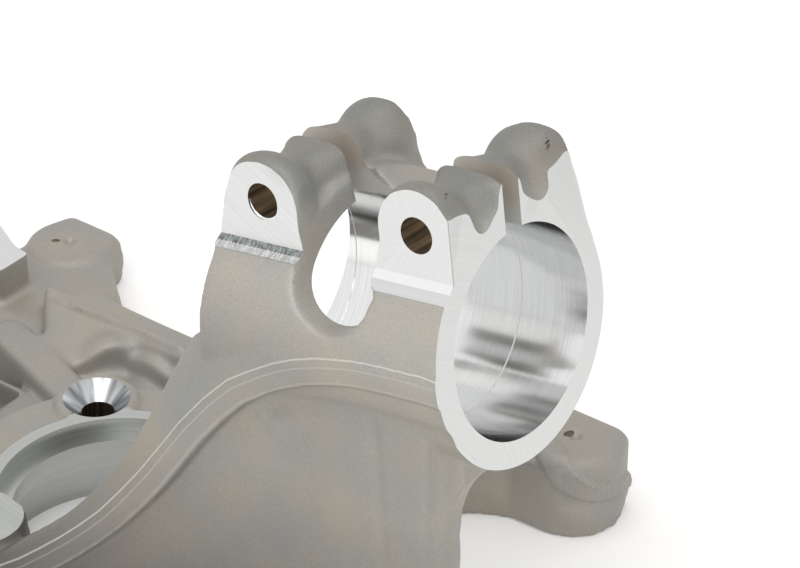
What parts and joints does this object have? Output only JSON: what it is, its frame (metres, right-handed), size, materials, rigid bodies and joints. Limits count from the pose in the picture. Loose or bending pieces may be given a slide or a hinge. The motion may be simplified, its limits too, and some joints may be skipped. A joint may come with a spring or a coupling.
{
  "type": "steering knuckle",
  "caption": "Cast aluminium steering knuckle: a hub ring with a neck up to a split strut clamp, caliper ears, and arms for the ball joint and the tie rod",
  "frame": {"origin": "the hub bore's centre on the outboard mounting face, which the part rests on", "axes": "+Z is the wheel axis pointing inboard, +Y runs from the hub to the strut clamp, and +X completes a right-handed frame"},
  "size_m": [0.265, 0.3105, 0.2095],
  "materials": {
    "casting": "blasted as-cast skin with bright machined bores and faces"
  },
  "bodies": {
    "root": {"steering_knuckle": "casting"}
  },
  "joints": []
}
